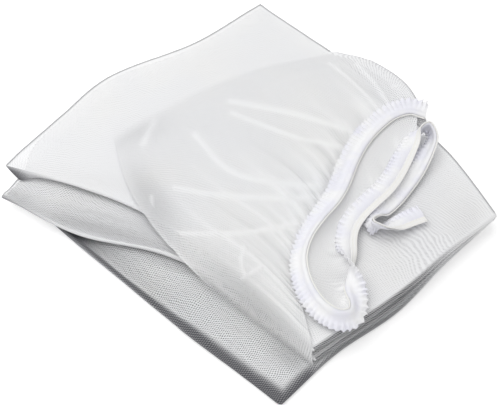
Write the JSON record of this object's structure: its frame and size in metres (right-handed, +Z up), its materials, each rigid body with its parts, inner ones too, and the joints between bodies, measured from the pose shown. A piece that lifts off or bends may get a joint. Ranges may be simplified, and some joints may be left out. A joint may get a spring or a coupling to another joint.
{
  "type": "folded crib mosquito net",
  "caption": "White fine-mesh crib mosquito net folded into a soft square pile, with its gathered, ruffled elastic opening lying on top.",
  "frame": {"origin": "middle of the pile's bounding box at the surface it rests on", "axes": "+Z up; +X towards the pile's right side, where the elastic opening lies; +Y towards its back, away from the folded front edges"},
  "size_m": [0.334, 0.3274, 0.0456],
  "materials": {
    "mesh_cloth": "fine white knitted mosquito mesh, holes about 1.5 mm, slightly sheer, soft sheen",
    "ruffled_binding": "white woven binding gathered into a pleated frill, matt",
    "elastic_tape": "cream braided elastic tape with fine lengthwise ribs, matt"
  },
  "bodies": {
    "root": {"net": "mesh_cloth", "ruffled_binding": "ruffled_binding", "elastic_tape": "elastic_tape"}
  },
  "joints": []
}
